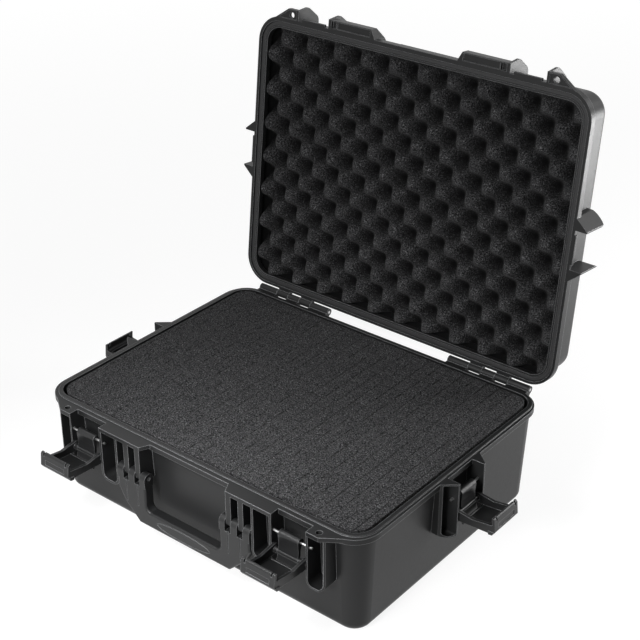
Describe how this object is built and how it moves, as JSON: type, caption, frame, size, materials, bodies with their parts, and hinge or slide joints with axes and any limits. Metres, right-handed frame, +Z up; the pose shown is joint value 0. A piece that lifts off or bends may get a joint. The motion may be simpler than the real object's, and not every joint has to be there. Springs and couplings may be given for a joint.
{
  "type": "flight case",
  "caption": "Rectangular hard case with a hinged lid, draw latches on the front and sides, a carry handle, a lid gasket and foam inside both halves.",
  "frame": {"origin": "centre of the flat bottom face of the base", "axes": "+X along the front to the right, -Y out of the front, +Z up"},
  "size_m": [0.6612, 0.5745, 0.5627],
  "materials": {
    "shell_plastic": "fine moulded grain, satin",
    "handle_plastic": "smooth satin",
    "latch_plastic": "smooth satin",
    "plate_plastic": "smooth matt",
    "gasket_rubber": "soft matt",
    "foam": "open-cell foam",
    "pin_steel": "drawn steel"
  },
  "bodies": {
    "base": {"base_shell": "shell_plastic", "foam_upper_layer": "foam", "foam_lower_layer": "foam", "foam_base_pad": "foam", "handle_pin_left": "pin_steel", "handle_pin_right": "pin_steel", "hinge_pin_left": "pin_steel", "hinge_pin_right": "pin_steel", "lever_pin_front_left": "pin_steel", "lever_pin_front_right": "pin_steel", "lever_pin_left": "pin_steel", "lever_pin_right": "pin_steel"},
    "lid": {"lid_shell": "shell_plastic", "lid_gasket": "gasket_rubber", "lid_foam": "foam", "name_plate": "plate_plastic"},
    "handle": {"carry_handle": "handle_plastic"},
    "lever_front_left": {"latch_lever_front_left": "latch_plastic", "claw_pin_front_left": "pin_steel"},
    "claw_front_left": {"latch_claw_front_left": "latch_plastic"},
    "lever_front_right": {"latch_lever_front_right": "latch_plastic", "claw_pin_front_right": "pin_steel"},
    "claw_front_right": {"latch_claw_front_right": "latch_plastic"},
    "lever_left": {"latch_lever_left": "latch_plastic", "claw_pin_left": "pin_steel"},
    "claw_left": {"latch_claw_left": "latch_plastic"},
    "lever_right": {"latch_lever_right": "latch_plastic", "claw_pin_right": "pin_steel"},
    "claw_right": {"latch_claw_right": "latch_plastic"}
  },
  "joints": [
    {"name": "lid_hinge", "type": "hinge", "parent": "base", "child": "lid", "pos_m": [0, 0.205, 0.1466], "axis": [-1, 0, 0], "range_deg": [-96.2, 0]},
    {"name": "handle_hinge", "type": "hinge", "parent": "base", "child": "handle", "pos_m": [0, -0.208, 0.1], "axis": [-1, 0, 0], "range_deg": [0, 90]},
    {"name": "lever_hinge_front_left", "type": "hinge", "parent": "base", "child": "lever_front_left", "pos_m": [-0.169, -0.2085, 0.122], "axis": [-1, 0, 0], "range_deg": [0, 90]},
    {"name": "claw_hinge_front_left", "type": "hinge", "parent": "lever_front_left", "child": "claw_front_left", "pos_m": [-0.169, -0.212, 0.098], "axis": [1, 0, 0], "range_deg": [-84, 0]},
    {"name": "lever_hinge_front_right", "type": "hinge", "parent": "base", "child": "lever_front_right", "pos_m": [0.169, -0.2085, 0.122], "axis": [-1, 0, 0], "range_deg": [0, 90]},
    {"name": "claw_hinge_front_right", "type": "hinge", "parent": "lever_front_right", "child": "claw_front_right", "pos_m": [0.169, -0.212, 0.098], "axis": [1, 0, 0], "range_deg": [-84, 0]},
    {"name": "lever_hinge_left", "type": "hinge", "parent": "base", "child": "lever_left", "pos_m": [-0.2709, -0.001, 0.122], "axis": [0, 1, 0], "range_deg": [0, 90]},
    {"name": "claw_hinge_left", "type": "hinge", "parent": "lever_left", "child": "claw_left", "pos_m": [-0.2744, -0.001, 0.098], "axis": [0, -1, 0], "range_deg": [-84, 0]},
    {"name": "lever_hinge_right", "type": "hinge", "parent": "base", "child": "lever_right", "pos_m": [0.2709, -0.001, 0.122], "axis": [0, -1, 0], "range_deg": [0, 90]},
    {"name": "claw_hinge_right", "type": "hinge", "parent": "lever_right", "child": "claw_right", "pos_m": [0.2744, -0.001, 0.098], "axis": [0, 1, 0], "range_deg": [-84, 0]}
  ]
}
